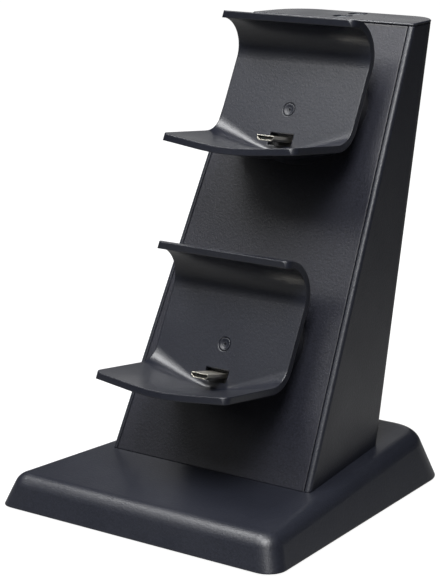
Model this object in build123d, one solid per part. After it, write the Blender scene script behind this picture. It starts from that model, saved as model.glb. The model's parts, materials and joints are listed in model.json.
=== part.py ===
from build123d import *
import math
import os

# Controller charging dock: a wedge-shaped base, a tower that leans back on it, and two
# moulded cradles, one above the other, each with a small charging plug.
# Millimetres. +Z is up, the front faces -Y and +X is to the right as seen from the front.

# Base
foot_stand = 0.6
base_front_width = 114.2
base_depth = 121.6
base_side_narrowing = 14.7
base_front_height = 10.3
base_top_tilt = 3.0
base_draft = 18.3
base_front_radius = 6.6
base_back_radius = 16.0
base_top_fillet = 5.6
base_wall = 2.4

# Tower
tower_front_setback = 40.7
tower_lean = 25.6
tower_back_lean = 15.5
tower_foot_width = 81.9
tower_top_width = 66.8
tower_foot_depth = 50.8
tower_plan_draft = 8.8
tower_height = 142.4
tower_wall = 2.0
tower_rim_radius = 1.3
tower_foot_radius = 3.3
tower_top_radius = 13.0

# Front panel and top cap
panel_thickness = 2.4
panel_gap = 0.35
ledge_width = 2.2
ledge_thickness = 1.8
cap_thickness = 1.0
cap_edge_chamfer = 0.35
cap_seam = 0.35
cap_tab_depth = 3.0
cap_tab_wall = 1.4
cap_tab_length = 5.6
cap_tab_setback = 9.0

# Cradles, in face coordinates: X across, U up the tower's front face, N out of it
lower_cradle_u = 17.95
cradle_pitch = 81.2
cradle_width = 53.8
cradle_standoff = 7.0
sheet = 2.3
lip_radius = 10.0
lip_sweep = 117.3
cradle_length = 49.0
shelf_reach = 28.3
valley_crease_rise = 7.3
side_crease_rise = 12.9
side_tip_rise = 2.4
valley_rounding = 7.0
crease_radius_valley = 1.2
crease_radius_side = 8.1
shelf_corner_radius = 3.2
lip_corner_radius = 3.0

# Mounting pedestal behind each cradle
pedestal_half_width = 24.0
pedestal_half_height = 20.3
pedestal_rise = 26.8

# Charging plug
plug_rise = 12.1
plug_tilt = 14.8
plug_width = 6.85
plug_height = 1.8
plug_wall = 0.3
plug_reach = 8.8
plug_root = 4.0
plug_lower_chamfer = 0.8
slot_margin = 1.3
tongue_width = 4.8
tongue_height = 0.6
tongue_setback = 0.7
holder_margin = 2.2

# Fixing screw in its dished recess
recess_rise = 22.7
recess_radius = 2.4
recess_depth = 1.2
screw_head_radius = 1.6
screw_head_height = 0.8
screw_shank_radius = 1.0
screw_length = 6.0

# Indicator lights in the top cap
window_radius_share = 0.153
window_spacing_share = 0.425
window_back_margin = 2.2
window_recess = 0.5
lens_gap = 0.1
led_size = 2.2
led_height = 1.2
indicator_board_length = 40.0
board_thickness = 1.6
indicator_post_radius = 2.0
indicator_post_spacing = 30.0

# Underside
bottom_plate_thickness = 2.0
bottom_plate_recess = 0.3
fit_gap = 0.25
foot_radius = 6.0
foot_pocket = 0.8
foot_edge_margin = 13.0
post_radius = 3.6
post_edge_margin = 13.0
post_foot_distance = 11.0
base_screw_shank_radius = 1.25
base_screw_head_radius = 2.6
base_screw_head_height = 1.2
base_screw_grip = 5.0

# Ballast, boards and power inlet inside the base
ballast_width = 74.0
ballast_depth = 38.0
ballast_clearance = 0.3
ballast_screw_gap = 1.5
charge_board_depth = 22.0
charge_board_drop = 1.2
board_post_gap = 1.5
board_post_radius = 2.2
inlet_width = 7.6
inlet_height = 2.7
inlet_depth = 6.0
inlet_wall = 0.35
inlet_gap = 0.5
lead_hole_width = 30.0
lead_hole_depth = 14.0
lead_slot_width = 9.0
lead_slot_height = 5.0
tower_screw_offset = 8.0
tower_post_radius = 4.0
tower_post_height = 14.0
tower_screw_length = 10.0

# Levels and places that follow from the sizes above
base_bottom = foot_stand
base_front = -base_depth / 2
base_back = base_depth / 2
draft_slope = math.tan(math.radians(base_draft))
top_slope = math.tan(math.radians(base_top_tilt))
side_slope = base_side_narrowing / base_depth
tower_front = base_front + tower_front_setback


def base_top_at(y):
    """Height of the base's sloping top over the table."""
    return base_bottom + base_front_height + (y - base_front) * top_slope


def cavity_top_at(y):
    return base_top_at(y) - base_wall


tower_foot = base_top_at(tower_front)
tower_top = tower_foot + tower_height
cap_bottom = tower_top - cap_thickness
plate_bottom = base_bottom + bottom_plate_recess
plate_top = plate_bottom + bottom_plate_thickness
upper_cradle_u = lower_cradle_u + cradle_pitch
cradle_face = cradle_standoff + sheet
lean = math.radians(tower_lean)
big = 400.0

face_plane = Plane(
    origin=(0, tower_front, tower_foot),
    x_dir=(1, 0, 0),
    z_dir=(0, -math.cos(lean), math.sin(lean)),
)
tower_middle_y = tower_front + tower_foot_depth / 2
foot_plane = Plane(
    origin=(0, tower_middle_y, base_top_at(tower_middle_y)),
    x_dir=(1, 0, 0),
    z_dir=(0, -math.sin(math.radians(base_top_tilt)), math.cos(math.radians(base_top_tilt))),
)


def frustum(bottom, top):
    """A solid with flat sides between two four-cornered outlines."""
    outlines = [bottom, top]
    for i in range(len(bottom)):
        j = (i + 1) % len(bottom)
        outlines.append([bottom[i], bottom[j], top[j], top[i]])
    return Solid(Shell([Face(Wire.make_polygon(outline)) for outline in outlines]))


def base_ring(height, slope, inset):
    """The base's four corners at a height over its bottom that grows backwards by slope."""
    front = (height * draft_slope + inset) / (1 - slope * draft_slope)
    back = (base_depth - height * draft_slope - inset) / (1 + slope * draft_slope)

    def corner(side, run):
        rise = height + run * slope
        half = base_front_width / 2 - run * side_slope - rise * draft_slope - inset
        return Vector(side * half, base_front + run, base_bottom + rise)

    return [corner(-1, front), corner(1, front), corner(1, back), corner(-1, back)]


def round_corners(part, inset):
    part = fillet(front_edges(part), base_front_radius - inset)
    return fillet(back_edges(part), base_back_radius - inset)


def tower_points(z, inset=0.0, front_inset=0.0):
    """The four corners of the tower's outline at height z, moved in by the insets."""
    rise = z - tower_foot
    front = tower_front + rise * math.tan(lean)
    back = tower_front + tower_foot_depth + rise * math.tan(math.radians(tower_back_lean))
    narrowing = (tower_foot_width - tower_top_width) / 2 * rise / tower_height
    plan = math.tan(math.radians(tower_plan_draft))

    def half(y):
        return tower_foot_width / 2 - narrowing - (y - front) * plan - inset

    near = front + front_inset
    far = back - inset
    return [(-half(near), near), (half(near), near), (half(far), far), (-half(far), far)]


def tower_block(z_low, z_high, inset=0.0, front_inset=0.0):
    low = [Vector(x, y, z_low) for x, y in tower_points(z_low, inset, front_inset)]
    high = [Vector(x, y, z_high) for x, y in tower_points(z_high, inset, front_inset)]
    return frustum(low, high)


def rising_edges(part):
    """The edges that run up the part, from its lower face to its upper one."""
    return [edge for edge in part.edges() if abs(edge.tangent_at(0.5).Z) > 0.5]


def back_edges(part):
    return sorted(rising_edges(part), key=lambda edge: edge.center().Y)[-2:]


def front_edges(part):
    return sorted(rising_edges(part), key=lambda edge: edge.center().Y)[:2]


def corner_arc(before, corner, after, radius):
    """Start, middle and end of the arc that rounds a corner."""
    to_before = (before - corner).normalized()
    to_after = (after - corner).normalized()
    half_angle = math.radians(to_before.get_angle(to_after) / 2)
    reach = radius / math.tan(half_angle)
    sag = radius / math.sin(half_angle) - radius
    inward = (to_before + to_after).normalized()
    return [corner + to_before * reach, corner + inward * sag, corner + to_after * reach]


def back_corner_radius(z, inset):
    """The tower's back corners widen upwards."""
    widening = (tower_top_radius - tower_foot_radius) / tower_height
    return tower_foot_radius + widening * (z - tower_foot) - inset


def tower_arcs(z, inset):
    """The tower's four rounded corners at a height."""
    points = [Vector(x, y, z) for x, y in tower_points(z, inset, inset)]
    back_radius = back_corner_radius(z, inset)
    radii = [tower_rim_radius, tower_rim_radius, back_radius, back_radius]
    return [corner_arc(points[i - 1], points[i], points[i - 3], radii[i]) for i in range(4)]


def arcs_face(arcs):
    """A flat face whose outline runs along arcs joined by straight lines."""
    edges = []
    for i, arc in enumerate(arcs):
        edges.append(Edge.make_line(arcs[i - 1][2], arc[0]))
        edges.append(Edge.make_three_point_arc(*arc))
    return Face(Wire(edges))


def cone_corner(low, high, i, low_radius, high_radius):
    """A cone that rounds corner i of a flat-sided block, and where it meets the sides, low and high."""
    rising = high[i] - low[i]
    up = rising.normalized()

    def along_side(neighbour):
        side = neighbour - low[i]
        return (side - up * side.dot(up)).normalized()

    sides = [along_side(low[i - 1]), along_side(low[i - 3])]
    half_angle = math.radians(sides[0].get_angle(sides[1]) / 2)
    spread = (high_radius - low_radius) / math.tan(half_angle) / rising.length
    depth = low_radius / math.tan(half_angle) / spread
    tip = low[i] - up * depth
    inward = (sides[0] + sides[1]).normalized()
    tilt = math.atan(spread / math.cos(half_angle))
    opening = math.tan(math.asin(math.sin(tilt) * math.sin(half_angle)))
    start = depth / 2
    length = 2 * (depth + rising.length)
    axis = Plane(origin=tip, z_dir=up * math.cos(tilt) + inward * math.sin(tilt))
    cone = axis.location * Pos(0, 0, start + length / 2) * Cone(start * opening, (start + length) * opening, length)
    touch = [up + side * spread for side in sides]
    outside = Plane(origin=tip, z_dir=up * spread * math.cos(half_angle) - inward)
    cone &= outside.location * Pos(0, 0, big) * Box(2 * big, 2 * big, 2 * big)
    cone &= block(0, 0, low[i].Z, high[i].Z, 2 * big, 2 * big)
    lines = [[tip + line * ((z - tip.Z) / line.Z) for line in touch] for z in (low[i].Z, high[i].Z)]
    return cone, lines


def rounded_tower(z_low, z_high, inset=0.0, front_inset=0.0):
    """A slice of the tower's outer form, with its back corners rounded."""
    low = [Vector(x, y, z_low) for x, y in tower_points(z_low, inset, front_inset)]
    high = [Vector(x, y, z_high) for x, y in tower_points(z_high, inset, front_inset)]
    radii = [back_corner_radius(z, inset) for z in (z_low, z_high)]
    right, right_lines = cone_corner(low, high, 2, *radii)
    left, left_lines = cone_corner(low, high, 3, *radii)
    bottom = low[:2] + right_lines[0] + left_lines[0]
    top = high[:2] + right_lines[1] + left_lines[1]
    return frustum(bottom, top) + right + left


def above_base(part):
    """What of a part lies over the base's sloping top."""
    return part - foot_plane.location * Pos(0, 0, -big / 2) * Box(big, big, big)


def face_slab(n_low, n_high):
    """A wide slab between two distances from the tower's front face."""
    middle = (n_low + n_high) / 2
    return face_plane.location * Pos(0, 0, middle) * Box(big, big, n_high - n_low)


def on_face(part):
    return face_plane.location * part


def disc(radius, z_low, z_high, x=0.0, y=0.0):
    height = z_high - z_low
    return Pos(x, y, z_low + height / 2) * Cylinder(radius, height)


def block(x, y, z_low, z_high, width, depth):
    return Pos(x, y, (z_low + z_high) / 2) * Box(width, depth, z_high - z_low)


# Places that repeat on the underside
def corner_places(edge_margin, shift=0.0):
    places = []
    for y in (base_front + edge_margin, base_back - edge_margin):
        half = base_front_width / 2 - (y - base_front) * side_slope - edge_margin - shift
        places += [(-half, y), (half, y)]
    return places


foot_places = corner_places(foot_edge_margin)
post_places = corner_places(post_edge_margin, post_foot_distance)
corner_names = ["front_left", "front_right", "back_left", "back_right"]

tower_post_x = tower_foot_width / 2 - tower_foot_depth / 2 * math.tan(math.radians(tower_plan_draft))
tower_post_x -= tower_screw_offset

board_back = base_back - base_wall - fit_gap - base_front_height * draft_slope
board_front = board_back - charge_board_depth
board_middle_y = (board_front + board_back) / 2
board_top = cavity_top_at(board_front) - charge_board_drop - inlet_height
board_bottom = board_top - board_thickness
charge_board_width = 2 * (post_places[-1][0] - post_radius - board_post_gap)
board_post_x = charge_board_width / 2 - board_post_radius
board_post_y = board_front + board_post_radius
inlet_z = board_top + inlet_height / 2
inlet_back = base_back - (board_top + inlet_height - base_bottom) * draft_slope - inlet_wall


def base_cavity(inset):
    """The base's hollow, open below, with its walls moved in by inset."""
    low = base_ring(-base_wall, 0, inset)
    high = base_ring(base_front_height - base_wall, top_slope, inset)
    return round_corners(frustum(low, high), inset)


def on_base_top(edge):
    return all(abs(corner.Z - base_top_at(corner.Y)) < 0.01 for corner in edge.vertices())


def make_base_shell():
    body = frustum(base_ring(0, 0, 0), base_ring(base_front_height, top_slope, 0))
    body = round_corners(body, 0)
    body = fillet([edge for edge in body.edges() if on_base_top(edge)], base_top_fillet)
    body -= base_cavity(base_wall)
    for x, y in post_places:
        post = disc(post_radius, plate_top, cavity_top_at(y) + base_wall / 2, x, y)
        body += post - disc(base_screw_shank_radius, plate_top, plate_top + base_screw_grip + 1, x, y)
    for x in (-board_post_x, board_post_x):
        body += disc(board_post_radius, board_top, cavity_top_at(board_post_y) + base_wall / 2, x, board_post_y)
    body -= foot_plane.location * Box(lead_hole_width, lead_hole_depth, 3 * base_wall)
    for x in (-tower_post_x, tower_post_x):
        body -= foot_plane.location * Pos(x, 0, 0) * Cylinder(base_screw_shank_radius + fit_gap, 3 * base_wall)
    opening_width = inlet_width + 2 * inlet_gap
    opening_height = inlet_height + 2 * inlet_gap
    opening = Box(opening_width, 5 * base_wall, opening_height)
    opening = fillet(opening.edges().filter_by(Axis.Y), opening_height / 4)
    body -= Pos(0, inlet_back, inlet_z) * opening
    return body


def make_bottom_plate():
    plate = base_cavity(base_wall + fit_gap) & block(0, 0, plate_bottom, plate_top, big, big)
    for x, y in foot_places:
        plate -= disc(foot_radius + fit_gap, plate_bottom - 1, plate_bottom + foot_pocket, x, y)
    for x, y in post_places:
        plate -= disc(base_screw_shank_radius + fit_gap, plate_bottom - 1, plate_top + 1, x, y)
        plate -= disc(base_screw_head_radius + fit_gap, plate_bottom - 1, plate_bottom + base_screw_head_height, x, y)
    for x in (-board_post_x, board_post_x):
        plate += disc(board_post_radius, plate_top, board_bottom, x, board_post_y)
    return plate


def make_foot(x, y):
    foot = disc(foot_radius, 0, plate_bottom + foot_pocket, x, y)
    return chamfer(foot.edges().group_by(Axis.Z)[0], foot_stand / 2)


def make_base_screw(x, y):
    head = disc(base_screw_head_radius, plate_bottom, plate_bottom + base_screw_head_height, x, y)
    return head + disc(base_screw_shank_radius, plate_bottom, plate_top + base_screw_grip, x, y)


def make_ballast():
    back = tower_middle_y - base_screw_head_radius - ballast_screw_gap
    height_top = cavity_top_at(back - ballast_depth) - ballast_clearance
    return block(0, back - ballast_depth / 2, plate_top, height_top, ballast_width, ballast_depth)


def make_charge_board():
    return block(0, board_middle_y, board_bottom, board_top, charge_board_width, charge_board_depth)


def make_power_inlet():
    middle = inlet_back - inlet_depth / 2
    shell = block(0, middle, board_top, board_top + inlet_height, inlet_width, inlet_depth)
    shell = fillet(shell.edges().filter_by(Axis.Y), inlet_height / 4)
    mouth_width = inlet_width - 2 * inlet_wall
    mouth_height = inlet_height - 2 * inlet_wall
    mouth_depth = inlet_depth - inlet_wall
    mouth = Box(mouth_width, mouth_depth, mouth_height)
    mouth = fillet(mouth.edges().filter_by(Axis.Y), mouth_height / 4)
    shell -= Pos(0, inlet_back - mouth_depth / 2, inlet_z) * mouth
    tongue = Pos(0, middle - inlet_wall, inlet_z) * Box(mouth_width / 2, mouth_depth, mouth_height / 4)
    return shell + tongue


def make_tower_shell():
    outer = rounded_tower(tower_foot, cap_bottom)
    outer = fillet(front_edges(outer), tower_rim_radius)
    hollow = rounded_tower(tower_foot - 1, cap_bottom + 1, tower_wall, -big / 4)
    ledge_block = tower_block(tower_foot, cap_bottom, tower_wall / 2)
    ledge_hole = tower_block(tower_foot - 1, cap_bottom + 1, tower_wall + ledge_width, -big / 4)
    ledge = (ledge_block - ledge_hole) & face_slab(-panel_thickness - ledge_thickness, -panel_thickness)
    shell = outer - hollow + ledge
    inside = rounded_tower(tower_foot, cap_bottom, tower_wall / 2)
    for x in (-tower_post_x, tower_post_x):
        place = foot_plane.location * Pos(x, 0, 0)
        post = place * Cylinder(tower_post_radius, 2 * tower_post_height)
        web = foot_plane.location * Pos(x * 1.1, 0, 0)
        post += web * Box(tower_post_radius * 2, tower_wall, 2 * tower_post_height) & inside
        shell += post - place * Cylinder(base_screw_shank_radius, 2 * tower_screw_length)
    return above_base(shell)


def make_front_panel():
    panel = tower_block(tower_foot - 1, cap_bottom, tower_wall + panel_gap, -big / 4)
    panel = above_base(panel & face_slab(-panel_thickness, 0))
    for start in (lower_cradle_u, upper_cradle_u):
        slot = Box(lead_slot_width, lead_slot_height, 4 * panel_thickness)
        panel -= on_face(Pos(0, start + plug_rise, 0) * slot)
        hole = Cylinder(screw_shank_radius, 4 * panel_thickness)
        panel -= on_face(Pos(0, start + recess_rise, 0) * hole)
    return panel


top_front = tower_points(tower_top)[0][1]
top_back = tower_points(tower_top)[-1][1]
window_radius = window_radius_share * (top_back - top_front)
window_spacing = window_spacing_share * (top_back - top_front)


def window_places():
    back = top_back - window_back_margin - window_radius
    return [(0, back - window_spacing), (0, back)]


def indicator_post_places():
    y = sum(place[1] for place in window_places()) / 2
    return [(-indicator_post_spacing / 2, y), (indicator_post_spacing / 2, y)]


board_level = cap_bottom - led_height


def cap_slice(z_low, z_high, inset):
    """An upright slice with the tower's outline under the cap, moved in by inset."""
    z_middle = cap_bottom + cap_thickness / 2
    outline = arcs_face(tower_arcs(z_middle, inset))
    return extrude(Pos(0, 0, z_low - z_middle) * outline, amount=z_high - z_low, dir=(0, 0, 1))


def make_top_cap():
    cap = cap_slice(cap_bottom + cap_seam, tower_top, 0)
    cap = chamfer(cap.faces().sort_by(Axis.Z)[-1].edges(), cap_edge_chamfer)
    cap += cap_slice(cap_bottom, cap_bottom + cap_seam, cap_seam)
    tab_inset = tower_wall + fit_gap
    tab_low = cap_bottom - cap_tab_depth
    tabs = tower_block(tab_low, cap_bottom, tab_inset) - tower_block(tab_low - 1, cap_bottom + 1, tab_inset + cap_tab_wall)
    tabs &= block(0, top_front + cap_tab_setback, tab_low, cap_bottom, big, cap_tab_length)
    cap += tabs
    for x, y in indicator_post_places():
        cap += disc(indicator_post_radius, board_level, cap_bottom, x, y)
    for x, y in window_places():
        cap -= disc(window_radius, cap_bottom - 1, tower_top + 1, x, y)
    return cap


def make_lens(x, y):
    return disc(window_radius - lens_gap, cap_bottom, tower_top - window_recess, x, y)


def make_indicator_board():
    y = indicator_post_places()[0][1]
    width = window_spacing + led_size
    return block(0, y, board_level - board_thickness, board_level, indicator_board_length, width)


def make_led(x, y):
    return block(x, y, board_level, cap_bottom, led_size, led_size)


def blend(low, high, share):
    return low + (high - low) * share


def shelf_section(x, split_u):
    """The shelf's cross-section at x, from split_u on the plate down to the front edge."""
    half = cradle_width / 2
    run = math.hypot(x, valley_rounding) - valley_rounding
    share = run / (math.hypot(half, valley_rounding) - valley_rounding)
    crease = blend(valley_crease_rise, side_crease_rise, share)
    tip = blend(0, side_tip_rise, share)
    radius = blend(crease_radius_valley, crease_radius_side, share)
    length = math.hypot(tip - crease, shelf_reach)
    along = Vector(0, (tip - crease) / length, shelf_reach / length)
    under = Vector(0, -along.Z, along.Y)
    back = Vector(0, 0, -1)
    turn = math.acos(-along.Y)
    reach = radius * math.tan(turn / 2)
    corner = Vector(x, crease, cradle_face)
    start = corner + Vector(0, reach, 0)
    end = corner + along * reach
    front = corner + along * length
    centre = start + Vector(0, 0, radius)
    inner_mid = (start + end) * 0.5 - centre
    middle = centre + inner_mid.normalized() * radius
    outer_middle = centre + inner_mid.normalized() * (radius + sheet)
    top = Vector(x, split_u, cradle_face)
    edges = [
        Line(top, start),
        ThreePointArc(start, middle, end),
        Line(end, front),
        Line(front, front + under * sheet),
        Line(front + under * sheet, end + under * sheet),
        ThreePointArc(end + under * sheet, outer_middle, start + back * sheet),
        Line(start + back * sheet, top + back * sheet),
        Line(top + back * sheet, top),
    ]
    return make_face(Wire([item.edge() for item in edges]).edges())


def corner_cutter(radius, n_tip, u_low, u_high, side):
    """Takes a sheet's square corner off, leaving a round one."""
    height = u_high - u_low
    half = cradle_width / 2
    square = Pos(side * half, (u_low + u_high) / 2, n_tip) * Box(2 * radius, height, 2 * radius)
    round_bar = Rot(90, 0, 0) * Cylinder(radius, 2 * height)
    return square - Pos(side * (half - radius), (u_low + u_high) / 2, n_tip - radius) * round_bar


def make_cradle():
    """One moulded sheet, in its own coordinates, with u = 0 at the shelf's lowest front point."""
    half = cradle_width / 2
    lip_start = cradle_length - lip_radius
    split_u = side_crease_rise + crease_radius_side
    lip_centre = Vector(0, lip_start, cradle_face + lip_radius)

    def lip_point(radius, angle):
        turn = math.radians(angle)
        return lip_centre + Vector(0, math.sin(turn), -math.cos(turn)) * radius

    inner_end = lip_point(lip_radius, lip_sweep)
    outer_end = lip_point(lip_radius + sheet, lip_sweep)
    profile = [
        Line((0, split_u, cradle_face), lip_point(lip_radius, 0)),
        ThreePointArc(lip_point(lip_radius, 0), lip_point(lip_radius, lip_sweep / 2), inner_end),
        Line(inner_end, outer_end),
        ThreePointArc(outer_end, lip_point(lip_radius + sheet, lip_sweep / 2), lip_point(lip_radius + sheet, 0)),
        Line(lip_point(lip_radius + sheet, 0), (0, split_u, cradle_standoff)),
        Line((0, split_u, cradle_standoff), (0, split_u, cradle_face)),
    ]
    outline = make_face(Wire([item.edge() for item in profile]).edges())
    upper = Pos(-half, 0, 0) * extrude(outline, amount=cradle_width, dir=(1, 0, 0))
    shares = (-1, -0.36, -0.12, 0.12, 0.36, 1)
    shelf = loft([shelf_section(half * share, split_u) for share in shares], ruled=True)
    sheet_body = upper + shelf
    lip_tip = max(inner_end.Z, outer_end.Z)
    for side in (-1, 1):
        sheet_body -= corner_cutter(shelf_corner_radius, cradle_face + shelf_reach, -big / 10, split_u, side)
        sheet_body -= corner_cutter(lip_corner_radius, lip_tip, lip_start, cradle_length + 2 * sheet, side)
    slot = Box(plug_width + 2 * slot_margin, plug_height + 2 * slot_margin, 4 * sheet)
    sheet_body -= Pos(0, plug_rise, cradle_face - sheet / 2) * slot
    dish = Cone(screw_head_radius + fit_gap, recess_radius, recess_depth)
    sheet_body -= Pos(0, recess_rise, cradle_face - recess_depth / 2) * dish
    sheet_body -= Pos(0, recess_rise, cradle_face) * Cylinder(screw_shank_radius + fit_gap / 2, 4 * sheet)
    return sheet_body


def make_pedestal():
    body = extrude(Ellipse(pedestal_half_width, pedestal_half_height), amount=cradle_standoff)
    body = Pos(0, pedestal_rise, 0) * body
    pocket = Box(plug_width + 2 * holder_margin, plug_height + 2 * holder_margin, 4 * cradle_standoff)
    body -= Pos(0, plug_rise, 0) * pocket
    body -= Pos(0, recess_rise, 0) * Cylinder(screw_shank_radius, 4 * cradle_standoff)
    return body


def plug_profile(grow):
    half = plug_width / 2 + grow
    top = plug_height / 2 + grow
    cut = plug_lower_chamfer
    points = [(-half, top), (half, top), (half, cut - top), (half - cut, -top), (cut - half, -top), (-half, cut - top)]
    return make_face(Polyline(*points, close=True).edges())


def plug_location():
    return Pos(0, plug_rise, cradle_face) * Rot(plug_tilt, 0, 0) * Pos(0, 0, -plug_root)


def make_plug_shell():
    length = plug_root + plug_reach
    tube = extrude(plug_profile(0), amount=length)
    tube -= Pos(0, 0, plug_wall) * extrude(plug_profile(-plug_wall), amount=length)
    return plug_location() * tube


def make_plug_tongue():
    length = plug_root + plug_reach - plug_wall - tongue_setback
    tongue = Box(tongue_width, tongue_height, length)
    return plug_location() * Pos(0, 0, plug_wall + length / 2) * tongue


def make_plug_holder():
    width = plug_width + 2 * holder_margin - 2 * fit_gap
    height = plug_height + 2 * holder_margin - 2 * fit_gap
    body = Pos(0, plug_rise, cradle_standoff / 2) * Box(width, height, cradle_standoff)
    socket = extrude(plug_profile(0), amount=plug_root + plug_reach)
    return body - plug_location() * socket


def make_cradle_screw():
    seat = cradle_face - recess_depth
    head = Pos(0, recess_rise, seat + screw_head_height / 2) * Cylinder(screw_head_radius, screw_head_height)
    return head + Pos(0, recess_rise, seat - screw_length / 2) * Cylinder(screw_shank_radius, screw_length)


def make_tower_screw(x):
    length = base_wall + tower_screw_length
    head = Pos(0, 0, -base_wall - base_screw_head_height / 2) * Cylinder(base_screw_head_radius, base_screw_head_height)
    shank = Pos(0, 0, length / 2 - base_wall) * Cylinder(base_screw_shank_radius, length)
    return foot_plane.location * Pos(x, 0, 0) * (head + shank)


# Every piece by name
pieces = {
    "base_shell": make_base_shell(),
    "bottom_plate": make_bottom_plate(),
    "ballast_plate": make_ballast(),
    "charge_board": make_charge_board(),
    "power_inlet": make_power_inlet(),
    "tower_shell": make_tower_shell(),
    "front_panel": make_front_panel(),
    "top_cap": make_top_cap(),
    "indicator_board": make_indicator_board(),
}
for name, place in zip(corner_names, foot_places):
    pieces[f"foot_{name}"] = make_foot(*place)
for name, place in zip(corner_names, post_places):
    pieces[f"base_screw_{name}"] = make_base_screw(*place)
for name, place in zip(("front", "back"), window_places()):
    pieces[f"light_lens_{name}"] = make_lens(*place)
    pieces[f"light_led_{name}"] = make_led(*place)
for name, x in (("left", -tower_post_x), ("right", tower_post_x)):
    pieces[f"tower_screw_{name}"] = make_tower_screw(x)
for name, start in (("lower", lower_cradle_u), ("upper", upper_cradle_u)):
    seat = face_plane.location * Pos(0, start, 0)
    pieces[f"{name}_cradle"] = seat * make_cradle()
    pieces[f"{name}_pedestal"] = seat * make_pedestal()
    pieces[f"{name}_plug_shell"] = seat * make_plug_shell()
    pieces[f"{name}_plug_tongue"] = seat * make_plug_tongue()
    pieces[f"{name}_plug_holder"] = seat * make_plug_holder()
    pieces[f"{name}_cradle_screw"] = seat * make_cradle_screw()

# The origin is under the middle of the whole dock, on the table
boxes = [piece.bounding_box() for piece in pieces.values()]
middle_y = (min(box.min.Y for box in boxes) + max(box.max.Y for box in boxes)) / 2
os.makedirs("parts", exist_ok=True)
for name, piece in pieces.items():
    export_step(Pos(0, -middle_y, 0) * piece, f"parts/{name}.step")
print("moved back by", round(middle_y, 3))
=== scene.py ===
import json
import math

import bmesh
import bpy
from bpy.props import FloatProperty, FloatVectorProperty, PointerProperty
from mathutils import Matrix, Vector


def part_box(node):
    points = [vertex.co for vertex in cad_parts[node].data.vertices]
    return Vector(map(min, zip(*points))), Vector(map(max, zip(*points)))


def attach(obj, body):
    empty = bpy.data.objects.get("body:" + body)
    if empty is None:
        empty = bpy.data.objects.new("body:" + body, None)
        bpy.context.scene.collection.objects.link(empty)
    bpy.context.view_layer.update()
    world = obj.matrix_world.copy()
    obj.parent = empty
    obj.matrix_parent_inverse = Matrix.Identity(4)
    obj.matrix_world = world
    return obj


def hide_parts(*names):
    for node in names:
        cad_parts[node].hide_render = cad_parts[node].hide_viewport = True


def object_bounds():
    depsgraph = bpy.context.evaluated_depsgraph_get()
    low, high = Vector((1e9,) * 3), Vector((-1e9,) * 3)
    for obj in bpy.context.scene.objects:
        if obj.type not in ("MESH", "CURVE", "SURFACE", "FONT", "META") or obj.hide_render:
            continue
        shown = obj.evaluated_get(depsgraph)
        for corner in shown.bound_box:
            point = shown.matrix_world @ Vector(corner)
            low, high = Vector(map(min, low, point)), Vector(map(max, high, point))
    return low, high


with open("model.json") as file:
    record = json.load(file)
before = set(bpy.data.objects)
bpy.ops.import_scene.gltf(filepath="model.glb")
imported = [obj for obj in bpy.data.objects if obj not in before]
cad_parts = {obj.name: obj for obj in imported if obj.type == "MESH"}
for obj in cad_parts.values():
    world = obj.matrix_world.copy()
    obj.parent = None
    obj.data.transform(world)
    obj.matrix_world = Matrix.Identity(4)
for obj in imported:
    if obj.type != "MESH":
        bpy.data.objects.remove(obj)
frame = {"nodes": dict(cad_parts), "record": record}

bl_info = {
    "name": "Controller Charging Dock",
    "version": (1, 0, 0),
    "blender": (4, 5, 0),
    "location": "3D View > Sidebar > Dock",
    "description": "Finishes a leaning charging dock with two moulded cradles",
    "category": "Object",
}

CAD_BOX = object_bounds()
MOUNTS = {mount["name"]: mount for mount in frame["record"]["mounts"]}
MM = 0.001
BODY = "root"
LEVELS = ("lower", "upper")
CORNERS = ("front_left", "front_right", "back_left", "back_right")

# The front panel leans back by this angle. The directions run up along it and straight out of it.
PANEL_LEAN = math.radians(25.6)
UP_PANEL = Vector((0, math.sin(PANEL_LEAN), math.cos(PANEL_LEAN)))
OUT_OF_PANEL = Vector((0, -math.cos(PANEL_LEAN), math.sin(PANEL_LEAN)))

# The small ridge where two mould halves met, near the panel's top edge: its shade is painted as a dark line.
LINE_BELOW_EDGE = 1.5 * MM
LINE_HALF_WIDTH = 0.3 * MM
LINE_SHADE = 0.35

# Screw heads under the base. The shares are of a head's own height and radius.
HEAD_HEIGHT = 1.2 * MM
HEAD_SEGMENTS = 24
RIM_HEIGHT_SHARE = 0.3
SOCKET_HEIGHT_SHARE = 0.6
SOCKET_RADIUS_SHARE = 0.42

# Dished caps in the cradles' recesses. The steps run from the rim inwards: width and depth in mm.
DISH_HEIGHT = 0.8 * MM
DISH_FOOT_RADIUS = 1.7 * MM
DISH_RIM_RADIUS = 2.2 * MM
DISH_SEGMENTS = 40
DISH_STEPS = ((0.15, 0.0), (1.1, -0.38), (0.5, 0.0), (0.05, -0.3))
DISH_PROUD = 0.3 * MM

# Contacts on a plug's tongue, and how far they sit ahead of its middle and above it.
CONTACT_COUNT = 5
CONTACT_PITCH = 0.65 * MM
CONTACT_SIZE = (0.38 * MM, 4.0 * MM, 0.08 * MM)
CONTACT_EDGE = 0.02 * MM
CONTACT_AHEAD = 2.6 * MM
CONTACT_ABOVE = 0.34 * MM

# Most values of a noise lie between the first two. A moulding's roughness drifts this far either way.
NOISE_LOW = 0.3
NOISE_HIGH = 0.7
GLOSS_DRIFT = 0.04

# The plugs point along Y and Z, so smaller coordinates there draw a pattern out along their shells.
DRAWN_SQUEEZE = (1.0, 0.08, 0.08)

# A face counts as a shape's top where its normal's height is more than this.
TOP_NORMAL = 0.9

# The paper sweep in metres, with a pool round the dock: painted shade that dims the white the camera sees,
# and a painted glow that only shiny parts reflect.
FLOOR_HALF_SIZE = 6.0
FLOOR_DROP = 0.1 * MM
PAPER_TONE = 0.15
POOL_START = 0.1
POOL_END = 0.3
POOL_PAINTED_STRENGTH = 0.2
POOL_PAINTED_SHADE = 0.3

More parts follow.
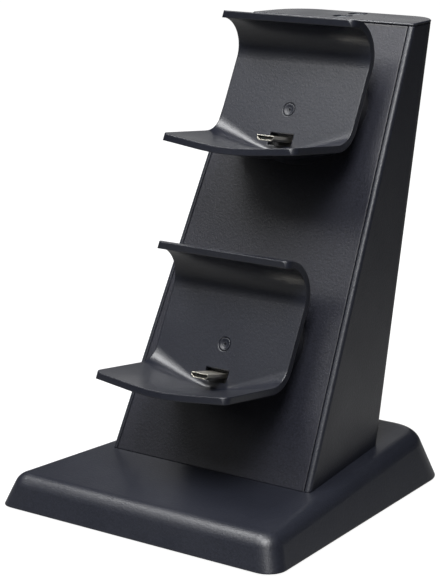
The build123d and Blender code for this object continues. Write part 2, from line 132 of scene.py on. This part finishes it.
# Softboxes: the direction in which each one stands, seen from the dock's middle, and its side in metres.
SOFTBOX_DISTANCE = 0.9
SOFTBOXES = {
    "front": ((-0.30, -0.55, 0.78), 0.45),
    "right": ((0.30, -0.48, 0.80), 0.45),
    "back": ((-0.56, 0.82, 0.14), 0.36),
    "left": ((-0.60, -0.66, 0.46), 0.45),
    "side": ((0.56, -0.69, 0.43), 0.26),
    "top": ((0.0, -0.22, 0.98), 0.33),
    "fold": ((-0.42, -0.14, 0.88), 0.34),
}


def srgb(hex_text):
    """Linear colour of an sRGB hex value, fully opaque."""
    def linear(value):
        return value / 12.92 if value <= 0.04045 else ((value + 0.055) / 1.055) ** 2.4

    digits = hex_text.lstrip("#")
    return tuple(linear(int(digits[i:i + 2], 16) / 255) for i in (0, 2, 4)) + (1.0,)


def colour_prop(label, about, hex_text):
    """A finish's colour for the sidebar."""
    return FloatVectorProperty(
        name=label, description=about, subtype="COLOR", size=4, min=0, max=1, default=srgb(hex_text))


def power_prop(label, about, watts):
    """A softbox's power for the sidebar."""
    return FloatProperty(name=label, description=about, unit="POWER", default=watts)


class DockFinishes(bpy.types.PropertyGroup):
    """Colours of the dock's finishes, and how soft its edges look"""
    housing: colour_prop("Housing", "Textured ABS of the base and the tower", "#1d1f27")
    panel: colour_prop("Front panel", "Textured ABS of the panel between the rims", "#1e1f27")
    cradle: colour_prop("Cradles", "Smooth ABS of the cradle sheets", "#191b23")
    lens: colour_prop("Light windows", "Frosted acrylic in the top cap", "#85898d")
    nickel: colour_prop("Plug shells", "Nickel plating of the plugs and the inlet", "#cfcbc0")
    block: colour_prop("Plug blocks", "Black ABS inside the plugs", "#141415")
    gold: colour_prop("Contacts", "Gold plating of the plugs' contacts", "#c9a04e")
    zinc: colour_prop("Screws", "Zinc plating of the screws and the ballast", "#a9abae")
    rubber: colour_prop("Feet", "Moulded rubber of the feet", "#1a1a1b")
    board: colour_prop("Boards", "Solder mask of the circuit boards", "#17512f")
    edge_rounding: FloatProperty(
        name="Edge rounding", description="How soft the mouldings' edges look", unit="LENGTH",
        default=0.6 * MM)


class DockStage(bpy.types.PropertyGroup):
    """Camera and studio light"""
    camera_place: FloatVectorProperty(
        name="Camera", description="Where the camera stands", subtype="XYZ", unit="LENGTH",
        default=(0.413855, -0.556949, 0.228678))
    camera_yaw: FloatProperty(
        name="Camera yaw", description="Turn from looking straight at the front", subtype="ANGLE",
        default=math.radians(37.516))
    camera_pitch: FloatProperty(
        name="Camera pitch", description="How far the camera looks down", subtype="ANGLE",
        default=math.radians(12.976))
    camera_lens: FloatProperty(
        name="Lens", description="Focal length on a 36 mm long side", unit="CAMERA", default=133.302)
    front_light: power_prop("Front light", "High softbox, front left", 3.0)
    right_light: power_prop("Right light", "High softbox, front right", 11.0)
    back_light: power_prop("Back light", "Low softbox, back left", 0.22)
    left_light: power_prop("Left light", "Low softbox, front left", 0.24)
    side_light: power_prop("Side light", "Small low softbox, front right", 0.5)
    top_light: power_prop("Top light", "Softbox overhead", 1.5)
    fold_light: power_prop("Fold light", "High softbox at the left, for the cradles' folds", 5.2)
    room_light: FloatProperty(name="Room light", description="Light from the white room", default=0.02)


def add(tree, kind, inputs=None, **settings):
    """Adds a node, sets it up and fills or links its inputs."""
    node = tree.nodes.new(kind)
    for key, value in settings.items():
        setattr(node, key, value)
    for key, value in (inputs or {}).items():
        if isinstance(value, bpy.types.NodeSocket):
            tree.links.new(value, node.inputs[key])
        else:
            node.inputs[key].default_value = value
    return node


def new_material(name):
    """A material with only its principled shader, and the coordinates that its patterns read."""
    material = bpy.data.materials.new(name)
    material.use_nodes = True
    tree = material.node_tree
    tree.nodes.clear()
    shader = add(tree, "ShaderNodeBsdfPrincipled")
    add(tree, "ShaderNodeOutputMaterial", {"Surface": shader.outputs["BSDF"]})
    place = add(tree, "ShaderNodeTexCoord").outputs["Object"]
    return material, tree, shader, place


def scale_of(size_mm):
    """Pattern scale that gives features of about this size."""
    return 1.0 / (size_mm * MM)


def soft_edges(tree, rounding, bump_inputs):
    """A pattern's bump on a normal that runs softly over a piece's edges."""
    edge = add(tree, "ShaderNodeBevel", {"Radius": rounding}, samples=6)
    return add(tree, "ShaderNodeBump", {**bump_inputs, "Normal": edge.outputs["Normal"]})


def moulded_abs(name, colour, roughness, grain_mm, grain_depth_mm, drift=0.10, cloud_mm=22.0):
    """Injection-moulded ABS: a soft sheen with the mould's spark-eroded grain and slow drifts of gloss."""
    # The real grain is about a tenth of a millimetre. It is drawn coarser, so that it shows.
    material, tree, shader, place = new_material(name)
    grain = add(tree, "ShaderNodeTexNoise", {
        "Vector": place, "Scale": scale_of(grain_mm), "Detail": 3.0, "Roughness": 0.6})
    cloud = add(tree, "ShaderNodeTexNoise", {
        "Vector": place, "Scale": scale_of(cloud_mm), "Detail": 2.0, "Roughness": 0.5})
    tone = add(tree, "ShaderNodeMapRange", {
        "Value": grain.outputs["Fac"], "From Min": NOISE_LOW, "From Max": NOISE_HIGH,
        "To Min": 1.0 - drift, "To Max": 1.0 + drift})
    tint = add(tree, "ShaderNodeVectorMath", {
        0: colour[:3], "Scale": tone.outputs["Result"]}, operation="SCALE")
    gloss = add(tree, "ShaderNodeMapRange", {
        "Value": cloud.outputs["Fac"], "From Min": NOISE_LOW, "From Max": NOISE_HIGH,
        "To Min": roughness - GLOSS_DRIFT, "To Max": roughness + GLOSS_DRIFT})
    rounding = bpy.context.scene.dock_finishes.edge_rounding
    bump = soft_edges(tree, rounding, {
        "Height": grain.outputs["Fac"], "Strength": 1.0, "Distance": grain_depth_mm * MM})
    tree.links.new(tint.outputs["Vector"], shader.inputs["Base Color"])
    tree.links.new(gloss.outputs["Result"], shader.inputs["Roughness"])
    tree.links.new(bump.outputs["Normal"], shader.inputs["Normal"])
    shader.inputs["IOR"].default_value = 1.53
    return material


def nickel_plate(name, colour, line_mm=0.25, rounding_mm=0.25):
    """Nickel plating on stamped steel: bright, with drawn lines along the shell and soft dulling."""
    # Real drawn lines are finer. These are as coarse as they need to be to show.
    material, tree, shader, place = new_material(name)
    along = add(tree, "ShaderNodeMapping", {"Vector": place, "Scale": DRAWN_SQUEEZE})
    drawn = add(tree, "ShaderNodeTexNoise", {
        "Vector": along.outputs["Vector"], "Scale": scale_of(line_mm), "Detail": 2.0})
    dull = add(tree, "ShaderNodeMapRange", {"Value": drawn.outputs["Fac"], "To Min": 0.26, "To Max": 0.46})
    bump = soft_edges(tree, rounding_mm * MM, {
        "Height": drawn.outputs["Fac"], "Strength": 0.4, "Distance": 0.02 * MM})
    shader.inputs["Base Color"].default_value = colour
    shader.inputs["Metallic"].default_value = 1.0
    tree.links.new(dull.outputs["Result"], shader.inputs["Roughness"])
    tree.links.new(bump.outputs["Normal"], shader.inputs["Normal"])
    return material


def plated_metal(name, colour, roughness, cloud_mm=1.6):
    """Zinc on steel or gold on copper: a fine satin with cloudy dulling from the plating bath."""
    material, tree, shader, place = new_material(name)
    cloud = add(tree, "ShaderNodeTexNoise", {
        "Vector": place, "Scale": scale_of(cloud_mm), "Detail": 4.0, "Roughness": 0.6})
    dull = add(tree, "ShaderNodeMapRange", {
        "Value": cloud.outputs["Fac"], "To Min": roughness - 0.1, "To Max": roughness + 0.15})
    bump = add(tree, "ShaderNodeBump", {
        "Height": cloud.outputs["Fac"], "Strength": 0.3, "Distance": 0.02 * MM})
    shader.inputs["Base Color"].default_value = colour
    shader.inputs["Metallic"].default_value = 1.0
    tree.links.new(dull.outputs["Result"], shader.inputs["Roughness"])
    tree.links.new(bump.outputs["Normal"], shader.inputs["Normal"])
    return material


def moulded_rubber(name, colour, mottle_mm=0.8):
    """Moulded rubber: dead matt, with a dusty mottle."""
    material, tree, shader, place = new_material(name)
    mottle = add(tree, "ShaderNodeTexNoise", {
        "Vector": place, "Scale": scale_of(mottle_mm), "Detail": 5.0, "Roughness": 0.7})
    tone = add(tree, "ShaderNodeMapRange", {"Value": mottle.outputs["Fac"], "To Min": 0.75, "To Max": 1.3})
    tint = add(tree, "ShaderNodeVectorMath", {
        0: colour[:3], "Scale": tone.outputs["Result"]}, operation="SCALE")
    bump = add(tree, "ShaderNodeBump", {
        "Height": mottle.outputs["Fac"], "Strength": 0.6, "Distance": 0.05 * MM})
    tree.links.new(tint.outputs["Vector"], shader.inputs["Base Color"])
    tree.links.new(bump.outputs["Normal"], shader.inputs["Normal"])
    shader.inputs["Roughness"].default_value = 0.85
    return material


def solder_mask(name, colour, weave_mm=3.0):
    """Glass-fibre board under green solder mask: a lacquer's gloss, with the weave just showing."""
    # The real weave is finer. It is drawn coarser, so that it shows.
    material, tree, shader, place = new_material(name)
    weave = add(tree, "ShaderNodeTexWave", {
        "Vector": place, "Scale": scale_of(weave_mm), "Distortion": 0.6}, bands_direction="DIAGONAL")
    tone = add(tree, "ShaderNodeMapRange", {"Value": weave.outputs["Fac"], "To Min": 0.85, "To Max": 1.1})
    tint = add(tree, "ShaderNodeVectorMath", {
        0: colour[:3], "Scale": tone.outputs["Result"]}, operation="SCALE")
    tree.links.new(tint.outputs["Vector"], shader.inputs["Base Color"])
    shader.inputs["Roughness"].default_value = 0.35
    return material


def frosted_acrylic(name, colour, frost_mm=0.3):
    """Frosted acrylic light guide: milky, with a soft skin."""
    # Real frost is finer. It is drawn coarser, so that it shows.
    material, tree, shader, place = new_material(name)
    frost = add(tree, "ShaderNodeTexNoise", {"Vector": place, "Scale": scale_of(frost_mm), "Detail": 3.0})
    dull = add(tree, "ShaderNodeMapRange", {"Value": frost.outputs["Fac"], "To Min": 0.3, "To Max": 0.5})
    bump = add(tree, "ShaderNodeBump", {
        "Height": frost.outputs["Fac"], "Strength": 0.3, "Distance": 0.02 * MM})
    shader.inputs["Base Color"].default_value = colour
    shader.inputs["IOR"].default_value = 1.49
    tree.links.new(dull.outputs["Result"], shader.inputs["Roughness"])
    tree.links.new(bump.outputs["Normal"], shader.inputs["Normal"])
    return material


def dress(material, *names):
    """Gives CAD nodes their finish."""
    for name in names:
        mesh = frame["nodes"][name].data
        mesh.materials.clear()
        mesh.materials.append(material)


def nodes_with(*words):
    """Names of the CAD nodes that hold any of the words."""
    return [name for name in frame["nodes"] if any(word in name for word in words)]


def middle_of(name):
    """Middle of a CAD node's box."""
    low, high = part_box(name)
    return (Vector(low) + Vector(high)) / 2


def crown_of(shape):
    """Faces on top of a shape that is still upright."""
    return [face for face in shape.faces if face.normal.z > TOP_NORMAL]


def placing(place, axis, forward="Z", up="Y"):
    """Matrix that turns a shape's forward side along the axis and moves it to its place."""
    return Matrix.Translation(place) @ Vector(axis).to_track_quat(forward, up).to_matrix().to_4x4()


def finish_piece(name, shape, material):
    """Turns a bmesh into a piece that rides on the dock."""
    bmesh.ops.recalc_face_normals(shape, faces=shape.faces)
    mesh = bpy.data.meshes.new(name)
    shape.to_mesh(mesh)
    shape.free()
    mesh.materials.append(material)
    piece = bpy.data.objects.new(name, mesh)
    bpy.context.scene.collection.objects.link(piece)
    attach(piece, BODY)
    return piece


def screw_head(radius, place, axis):
    """A screw head with a bevelled rim and a round driver socket, facing along the axis."""
    rim_width = HEAD_HEIGHT * RIM_HEIGHT_SHARE
    socket_radius = radius * SOCKET_RADIUS_SHARE
    shape = bmesh.new()
    bmesh.ops.create_cone(
        shape, cap_ends=True, segments=HEAD_SEGMENTS, radius1=radius, radius2=radius, depth=HEAD_HEIGHT)
    rim = [edge for edge in shape.edges if all(vertex.co.z > 0 for vertex in edge.verts)]
    bmesh.ops.bevel(
        shape, geom=rim, offset=rim_width, segments=2, profile=0.5, affect="EDGES", material=-1)
    crown = crown_of(shape)
    bmesh.ops.inset_region(
        shape, faces=crown, thickness=radius - rim_width - socket_radius, use_even_offset=True)
    floor = bmesh.ops.extrude_face_region(shape, geom=crown)["geom"]
    sunk = [item for item in floor if isinstance(item, bmesh.types.BMVert)]
    bmesh.ops.delete(shape, geom=crown, context="FACES_ONLY")
    bmesh.ops.translate(shape, verts=sunk, vec=(0, 0, -HEAD_HEIGHT * SOCKET_HEIGHT_SHARE))
    bmesh.ops.transform(shape, matrix=placing(place, axis), verts=shape.verts)
    return shape


class DOCK_OT_base(bpy.types.Operator):
    """Finishes the base, its plate, feet, boards and screws"""
    bl_idname = "dock.base"
    bl_label = "Finish base"

    def execute(self, context):
        finishes = context.scene.dock_finishes
        housing = moulded_abs("textured ABS housing", finishes.housing, roughness=0.37,
                              grain_mm=0.7, grain_depth_mm=0.065, drift=0.26)
        dress(housing, "base_shell")
        underside = moulded_abs("plain ABS underside", finishes.housing, roughness=0.55,
                                grain_mm=0.6, grain_depth_mm=0.03)
        dress(underside, "bottom_plate")
        dress(moulded_rubber("moulded rubber", finishes.rubber), *nodes_with("foot_"))
        zinc = plated_metal("zinc-plated steel", finishes.zinc, roughness=0.4)
        dress(zinc, "ballast_plate", *nodes_with("base_screw", "tower_screw"))
        board = solder_mask("solder mask on glass fibre", finishes.board)
        dress(board, "charge_board", "indicator_board")
        for corner in CORNERS:
            low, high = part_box("base_screw_" + corner)
            place = middle_of("base_screw_" + corner)
            place.z = low[2] + HEAD_HEIGHT / 2
            shape = screw_head((high[0] - low[0]) / 2, place, axis=(0, 0, -1))
            screw = finish_piece("base_screw_head_" + corner, shape, zinc)
            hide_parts("base_screw_" + corner)
        return {"FINISHED"}


def ridge_shade_line(material):
    """Paints the shade of the mould's parting ridge as a faint dark line along the panel, below its top
    edge.
    """
    tree = material.node_tree
    shader = next(node for node in tree.nodes if node.type == "BSDF_PRINCIPLED")
    tint = shader.inputs["Base Color"].links[0].from_socket
    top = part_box("front_panel")[1]
    level = Vector((0, top[1], top[2])).dot(UP_PANEL) - LINE_BELOW_EDGE
    place = add(tree, "ShaderNodeTexCoord").outputs["Object"]
    rise = add(tree, "ShaderNodeVectorMath", {0: place, 1: UP_PANEL}, operation="DOT_PRODUCT")
    line = add(tree, "ShaderNodeMath", {
        0: rise.outputs["Value"], 1: level, 2: LINE_HALF_WIDTH}, operation="COMPARE")
    shade = add(tree, "ShaderNodeMapRange", {
        "Value": line.outputs["Value"], "To Min": 1.0, "To Max": LINE_SHADE})
    dark = add(tree, "ShaderNodeVectorMath", {0: tint, "Scale": shade.outputs["Result"]}, operation="SCALE")
    tree.links.new(dark.outputs["Vector"], shader.inputs["Base Color"])


class DOCK_OT_tower(bpy.types.Operator):
    """Finishes the tower's shell, cap, front panel and lights"""
    bl_idname = "dock.tower"
    bl_label = "Finish tower"

    def execute(self, context):
        finishes = context.scene.dock_finishes
        tower = moulded_abs("textured ABS tower", finishes.housing, roughness=0.37,
                            grain_mm=0.7, grain_depth_mm=0.075, drift=0.34)
        dress(tower, "tower_shell")
        cap = moulded_abs("fine-grained ABS cap", finishes.housing, roughness=0.27,
                          grain_mm=0.7, grain_depth_mm=0.03, drift=0.3)
        dress(cap, "top_cap")
        panel = moulded_abs("textured ABS panel", finishes.panel, roughness=0.37,
                            grain_mm=0.7, grain_depth_mm=0.075, drift=0.36)
        # Painted shade: a faint dark line along the panel, below its top edge.
        ridge_shade_line(panel)
        dress(panel, "front_panel")
        dress(frosted_acrylic("frosted acrylic", finishes.lens), *nodes_with("light_lens", "light_led"))
        return {"FINISHED"}


def screw_dish(name):
    """A shallow dish over the screw in a cradle's recess, with a small hole in its middle."""
    low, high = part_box(name)
    radius = (high[0] - low[0]) / 2
    corner = Vector((0, low[1], high[2]))
    rise = corner.dot(UP_PANEL) - radius * math.cos(2 * PANEL_LEAN)
    reach = corner.dot(OUT_OF_PANEL) - radius * math.sin(2 * PANEL_LEAN)
    shape = bmesh.new()
    bmesh.ops.create_cone(
        shape, cap_ends=True, segments=DISH_SEGMENTS, radius1=DISH_FOOT_RADIUS, radius2=DISH_RIM_RADIUS,
        depth=DISH_HEIGHT)
    crown = crown_of(shape)
    for width, depth in DISH_STEPS:
        bmesh.ops.inset_region(shape, faces=crown, thickness=width * MM, depth=depth * MM)
    place = UP_PANEL * rise + OUT_OF_PANEL * (reach + DISH_PROUD - DISH_HEIGHT / 2)
    bmesh.ops.transform(shape, matrix=placing(place, OUT_OF_PANEL), verts=shape.verts)
    return shape


class DOCK_OT_cradles(bpy.types.Operator):
    """Finishes the cradles, their pedestals and screws"""
    bl_idname = "dock.cradles"
    bl_label = "Finish cradles"

    def execute(self, context):
        finishes = context.scene.dock_finishes
        satin = moulded_abs("satin ABS cradle", finishes.cradle, roughness=0.33,
                            grain_mm=0.7, grain_depth_mm=0.05, drift=0.24)
        dress(satin, *nodes_with("_cradle", "_pedestal"))
        capped = moulded_abs("ABS screw cap", finishes.cradle, roughness=0.4,
                             grain_mm=0.6, grain_depth_mm=0.006, drift=0.05)
        dress(capped, *nodes_with("cradle_screw"))
        for level in LEVELS:
            shape = screw_dish(level + "_cradle_screw")
            cap = finish_piece(level + "_screw_dish", shape, capped)
            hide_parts(level + "_cradle_screw")
        return {"FINISHED"}


def contact_strips(level):
    """Thin contacts side by side on the tongue inside a plug's shell."""
    axis = Vector(MOUNTS[level + "_plug"]["axis"])
    above = Vector((0, axis.z, -axis.y))
    row = middle_of(level + "_plug_tongue") + axis * CONTACT_AHEAD + above * CONTACT_ABOVE
    shape = bmesh.new()
    for i in range(CONTACT_COUNT):
        strip = bmesh.ops.create_cube(shape, size=1.0)["verts"]
        bmesh.ops.scale(shape, vec=CONTACT_SIZE, verts=strip)
        edges = list({edge for vertex in strip for edge in vertex.link_edges})
        strip = bmesh.ops.bevel(
            shape, geom=edges, offset=CONTACT_EDGE, segments=1, profile=0.5, affect="EDGES",
            material=-1)["verts"]
        across = Vector(((i - CONTACT_COUNT // 2) * CONTACT_PITCH, 0, 0))
        bmesh.ops.transform(shape, matrix=placing(row + across, axis, "-Y", "Z"), verts=strip)
    return shape


class DOCK_OT_plugs(bpy.types.Operator):
    """Finishes the charging plugs and the power inlet"""
    bl_idname = "dock.plugs"
    bl_label = "Finish plugs"

    def execute(self, context):
        finishes = context.scene.dock_finishes
        dress(nickel_plate("nickel-plated shell", finishes.nickel), "power_inlet", *nodes_with("plug_shell"))
        block = moulded_abs("black contact block", finishes.block, roughness=0.5,
                            grain_mm=0.3, grain_depth_mm=0.005)
        dress(block, *nodes_with("plug_tongue", "plug_holder"))
        gold = plated_metal("gold-plated contacts", finishes.gold, roughness=0.3)
        for level in LEVELS:
            finish_piece(level + "_plug_contacts", contact_strips(level), gold)
        return {"FINISHED"}


def softbox(name, towards, side, power):
    """A square softbox that looks at the dock's middle from the given direction."""
    light = bpy.data.lights.new(name, "AREA")
    light.size = side
    light.energy = power
    lamp = bpy.data.objects.new(name, light)
    aim = (Vector(CAD_BOX[0]) + Vector(CAD_BOX[1])) / 2
    away = Vector(towards).normalized()
    lamp.location = aim + away * SOFTBOX_DISTANCE
    lamp.rotation_euler = (-away).to_track_quat("-Z", "Y").to_euler()
    bpy.context.scene.collection.objects.link(lamp)


def white_paper(name):
    """Matt paper: white to the camera but dimmed round the dock by painted shade, with a faint painted glow
    there that only shiny parts reflect.
    """
    material = bpy.data.materials.new(name)
    material.use_nodes = True
    tree = material.node_tree
    tree.nodes.clear()
    path = add(tree, "ShaderNodeLightPath")
    paper = add(tree, "ShaderNodeBsdfDiffuse", {"Color": (PAPER_TONE, PAPER_TONE, PAPER_TONE, 1)})
    place = add(tree, "ShaderNodeTexCoord").outputs["Object"]
    away = add(tree, "ShaderNodeVectorMath", {0: place}, operation="LENGTH")
    # Painted reflection: a glow round the dock that only shiny parts see, fading out with distance.
    pool = add(tree, "ShaderNodeMapRange", {
        "Value": away.outputs["Value"], "From Min": POOL_START, "From Max": POOL_END,
        "To Min": POOL_PAINTED_STRENGTH, "To Max": 0.0})
    shiny = add(tree, "ShaderNodeMath", {
        0: path.outputs["Is Glossy Ray"], 1: path.outputs["Is Transmission Ray"]}, operation="MAXIMUM")
    # Painted shade: the white that the camera sees is dimmed round the dock.
    painted_shade = add(tree, "ShaderNodeMath", {
        0: pool.outputs["Result"], 1: -POOL_PAINTED_SHADE, 2: 1.0}, operation="MULTIPLY_ADD")
    seen = add(tree, "ShaderNodeMath", {
        0: path.outputs["Is Camera Ray"], 1: painted_shade.outputs["Value"]}, operation="MULTIPLY")
    white = add(tree, "ShaderNodeMath", {
        0: shiny.outputs["Value"], 1: pool.outputs["Result"], 2: seen.outputs["Value"]},
        operation="MULTIPLY_ADD")
    glow = add(tree, "ShaderNodeEmission", {"Color": (1, 1, 1, 1), "Strength": white.outputs["Value"]})
    both = add(tree, "ShaderNodeAddShader", {0: paper.outputs["BSDF"], 1: glow.outputs["Emission"]})
    add(tree, "ShaderNodeOutputMaterial", {"Surface": both.outputs["Shader"]})
    return material


def studio_floor():
    """A wide paper sweep, just under the feet, that keeps the dock's soft shadow, deepened round the dock by
    painted shade.
    """
    mesh = bpy.data.meshes.new("floor")
    shape = bmesh.new()
    bmesh.ops.create_grid(shape, x_segments=1, y_segments=1, size=FLOOR_HALF_SIZE)
    bmesh.ops.translate(shape, verts=shape.verts, vec=(0, 0, -FLOOR_DROP))
    shape.to_mesh(mesh)
    shape.free()
    floor = bpy.data.objects.new("floor", mesh)
    bpy.context.scene.collection.objects.link(floor)
    mesh.materials.append(white_paper("white paper sweep"))


def white_room(strength):
    """A world that gives an even white light from all round."""
    world = bpy.data.worlds.new("studio")
    world.use_nodes = True
    tree = world.node_tree
    tree.nodes.clear()
    sky = add(tree, "ShaderNodeBackground", {"Color": (1, 1, 1, 1), "Strength": strength})
    add(tree, "ShaderNodeOutputWorld", {"Surface": sky.outputs["Background"]})
    return world


def studio_camera(place, yaw, pitch, lens):
    """A camera that looks ahead, turned by the yaw and tipped down by the pitch."""
    data = bpy.data.cameras.new("camera")
    data.lens = lens
    camera = bpy.data.objects.new("camera", data)
    camera.location = place
    ahead = Vector((-math.sin(yaw) * math.cos(pitch), math.cos(yaw) * math.cos(pitch), -math.sin(pitch)))
    camera.rotation_euler = ahead.to_track_quat("-Z", "Y").to_euler()
    bpy.context.scene.collection.objects.link(camera)
    return camera


class DOCK_OT_stage(bpy.types.Operator):
    """Sets the floor, the studio light and the camera"""
    bl_idname = "dock.stage"
    bl_label = "Set stage"

    def execute(self, context):
        scene = context.scene
        stage = scene.dock_stage
        studio_floor()
        for name, (towards, side) in SOFTBOXES.items():
            softbox(name + " softbox", towards, side, getattr(stage, name + "_light"))
        scene.world = white_room(stage.room_light)
        scene.view_settings.view_transform = "Standard"
        scene.camera = studio_camera(
            stage.camera_place, stage.camera_yaw, stage.camera_pitch, stage.camera_lens)
        return {"FINISHED"}


class DOCK_PT_panel(bpy.types.Panel):
    """Steps and finishes of the dock"""
    bl_idname = "DOCK_PT_panel"
    bl_label = "Charging dock"
    bl_space_type = "VIEW_3D"
    bl_region_type = "UI"
    bl_category = "Dock"

    def draw(self, context):
        layout = self.layout
        for operator in OPERATORS:
            layout.operator(operator.bl_idname)
        for group in (context.scene.dock_finishes, context.scene.dock_stage):
            for name in group.bl_rna.properties.keys():
                if name not in {"name", "rna_type"}:
                    layout.prop(group, name)


OPERATORS = (DOCK_OT_base, DOCK_OT_tower, DOCK_OT_cradles, DOCK_OT_plugs, DOCK_OT_stage)
CLASSES = (DockFinishes, DockStage) + OPERATORS + (DOCK_PT_panel,)


def register():
    for cls in CLASSES:
        bpy.utils.register_class(cls)
    bpy.types.Scene.dock_finishes = PointerProperty(type=DockFinishes)
    bpy.types.Scene.dock_stage = PointerProperty(type=DockStage)


def unregister():
    del bpy.types.Scene.dock_stage
    del bpy.types.Scene.dock_finishes
    for cls in reversed(CLASSES):
        bpy.utils.unregister_class(cls)


def main():
    register()
    bpy.ops.dock.base()
    bpy.ops.dock.tower()
    bpy.ops.dock.cradles()
    bpy.ops.dock.plugs()
    bpy.ops.dock.stage()


if __name__ == "__main__":
    main()
